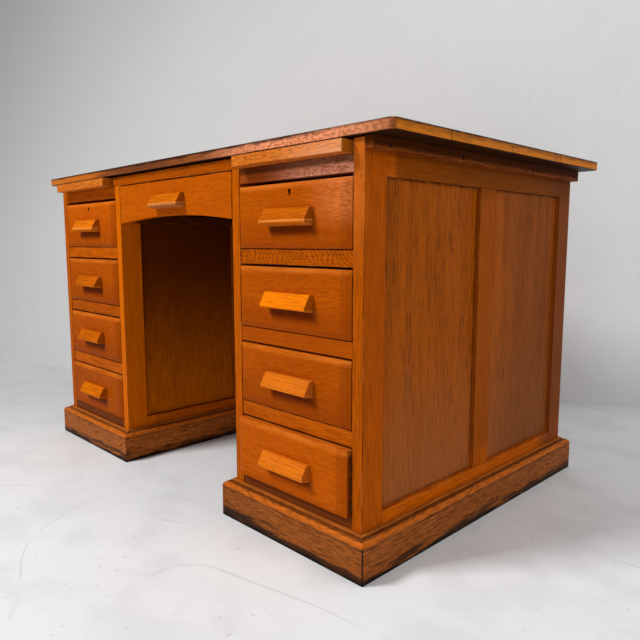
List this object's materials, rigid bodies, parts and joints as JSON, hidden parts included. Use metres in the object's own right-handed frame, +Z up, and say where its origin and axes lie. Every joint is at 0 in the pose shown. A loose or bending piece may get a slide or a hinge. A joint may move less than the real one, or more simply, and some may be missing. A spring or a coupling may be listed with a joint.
{
  "type": "pedestal desk",
  "caption": "Panelled oak pedestal desk with fielded drawers, wedge pulls, an arched centre drawer, pull-out writing slides and moulded plinths.",
  "frame": {"origin": "on the floor, under the middle of the bounding box", "axes": "+X along the front, to the right of a person who faces the drawers; +Y from the front to the back; +Z up"},
  "size_m": [1.308, 0.812, 0.76],
  "materials": {
    "oak_top": "worn oiled oak",
    "oak_plinth": "scuffed stained oak",
    "oak_panel": "stained oak, satin",
    "oak_frame": "stained oak, satin",
    "oak_pull": "polished golden oak",
    "oak_drawer_front": "polished golden oak",
    "drawer_lining": "bare pale wood",
    "lock_steel": "dull old steel",
    "screw_steel": "dull old steel",
    "oak_batten": "dark stained oak",
    "oak_lipping": "worn golden oak",
    "oak_rail": "stained oak, satin",
    "runner_wood": "bare wood",
    "oak_slide": "worn oak"
  },
  "bodies": {
    "carcase": {"desktop": "oak_top", "frieze_rail": "oak_rail", "batten_screws": "screw_steel", "kneehole_back_frame": "oak_frame", "kneehole_back_panels": "oak_panel", "centre_runners": "runner_wood", "drawer_stops": "runner_wood", "right_outer_frame": "oak_frame", "right_outer_panels": "oak_panel", "right_inner_frame": "oak_frame", "right_inner_panels": "oak_panel", "right_back_frame": "oak_frame", "right_back_panel": "oak_panel", "right_drawer_rails": "oak_rail", "right_runners": "runner_wood", "right_plinth": "oak_plinth", "right_batten": "oak_batten", "left_outer_frame": "oak_frame", "left_outer_panels": "oak_panel", "left_inner_frame": "oak_frame", "left_inner_panels": "oak_panel", "left_back_frame": "oak_frame", "left_back_panel": "oak_panel", "left_drawer_rails": "oak_rail", "left_runners": "runner_wood", "left_plinth": "oak_plinth", "left_batten": "oak_batten"},
    "right_drawer_1": {"right_drawer_1_front": "oak_drawer_front", "right_drawer_1_box": "drawer_lining", "right_drawer_1_pull": "oak_pull", "right_drawer_1_lock": "lock_steel"},
    "right_drawer_2": {"right_drawer_2_front": "oak_drawer_front", "right_drawer_2_box": "drawer_lining", "right_drawer_2_pull": "oak_pull"},
    "right_drawer_3": {"right_drawer_3_front": "oak_drawer_front", "right_drawer_3_box": "drawer_lining", "right_drawer_3_pull": "oak_pull"},
    "right_drawer_4": {"right_drawer_4_front": "oak_drawer_front", "right_drawer_4_box": "drawer_lining", "right_drawer_4_pull": "oak_pull"},
    "left_drawer_1": {"left_drawer_1_front": "oak_drawer_front", "left_drawer_1_box": "drawer_lining", "left_drawer_1_pull": "oak_pull", "left_drawer_1_lock": "lock_steel"},
    "left_drawer_2": {"left_drawer_2_front": "oak_drawer_front", "left_drawer_2_box": "drawer_lining", "left_drawer_2_pull": "oak_pull"},
    "left_drawer_3": {"left_drawer_3_front": "oak_drawer_front", "left_drawer_3_box": "drawer_lining", "left_drawer_3_pull": "oak_pull"},
    "left_drawer_4": {"left_drawer_4_front": "oak_drawer_front", "left_drawer_4_box": "drawer_lining", "left_drawer_4_pull": "oak_pull"},
    "centre_drawer": {"centre_drawer_front": "oak_drawer_front", "centre_drawer_box": "drawer_lining", "centre_drawer_pull": "oak_pull"},
    "right_slide": {"right_slide_board": "oak_slide", "right_slide_lipping": "oak_lipping"},
    "left_slide": {"left_slide_board": "oak_slide", "left_slide_lipping": "oak_lipping"}
  },
  "joints": [
    {"name": "right_drawer_1_slide", "type": "slide", "parent": "carcase", "child": "right_drawer_1", "axis": [0, -1, 0], "range_m": [0, 0.45]},
    {"name": "right_drawer_2_slide", "type": "slide", "parent": "carcase", "child": "right_drawer_2", "axis": [0, -1, 0], "range_m": [0, 0.45]},
    {"name": "right_drawer_3_slide", "type": "slide", "parent": "carcase", "child": "right_drawer_3", "axis": [0, -1, 0], "range_m": [0, 0.45]},
    {"name": "right_drawer_4_slide", "type": "slide", "parent": "carcase", "child": "right_drawer_4", "axis": [0, -1, 0], "range_m": [-0.009, 0.441]},
    {"name": "left_drawer_1_slide", "type": "slide", "parent": "carcase", "child": "left_drawer_1", "axis": [0, -1, 0], "range_m": [0, 0.45]},
    {"name": "left_drawer_2_slide", "type": "slide", "parent": "carcase", "child": "left_drawer_2", "axis": [0, -1, 0], "range_m": [0, 0.45]},
    {"name": "left_drawer_3_slide", "type": "slide", "parent": "carcase", "child": "left_drawer_3", "axis": [0, -1, 0], "range_m": [0, 0.45]},
    {"name": "left_drawer_4_slide", "type": "slide", "parent": "carcase", "child": "left_drawer_4", "axis": [0, -1, 0], "range_m": [0, 0.45]},
    {"name": "centre_drawer_slide", "type": "slide", "parent": "carcase", "child": "centre_drawer", "axis": [0, -1, 0], "range_m": [0, 0.38]},
    {"name": "right_slide_travel", "type": "slide", "parent": "carcase", "child": "right_slide", "axis": [0, -1, 0], "range_m": [0, 0.3]},
    {"name": "left_slide_travel", "type": "slide", "parent": "carcase", "child": "left_slide", "axis": [0, -1, 0], "range_m": [0, 0.3]}
  ]
}
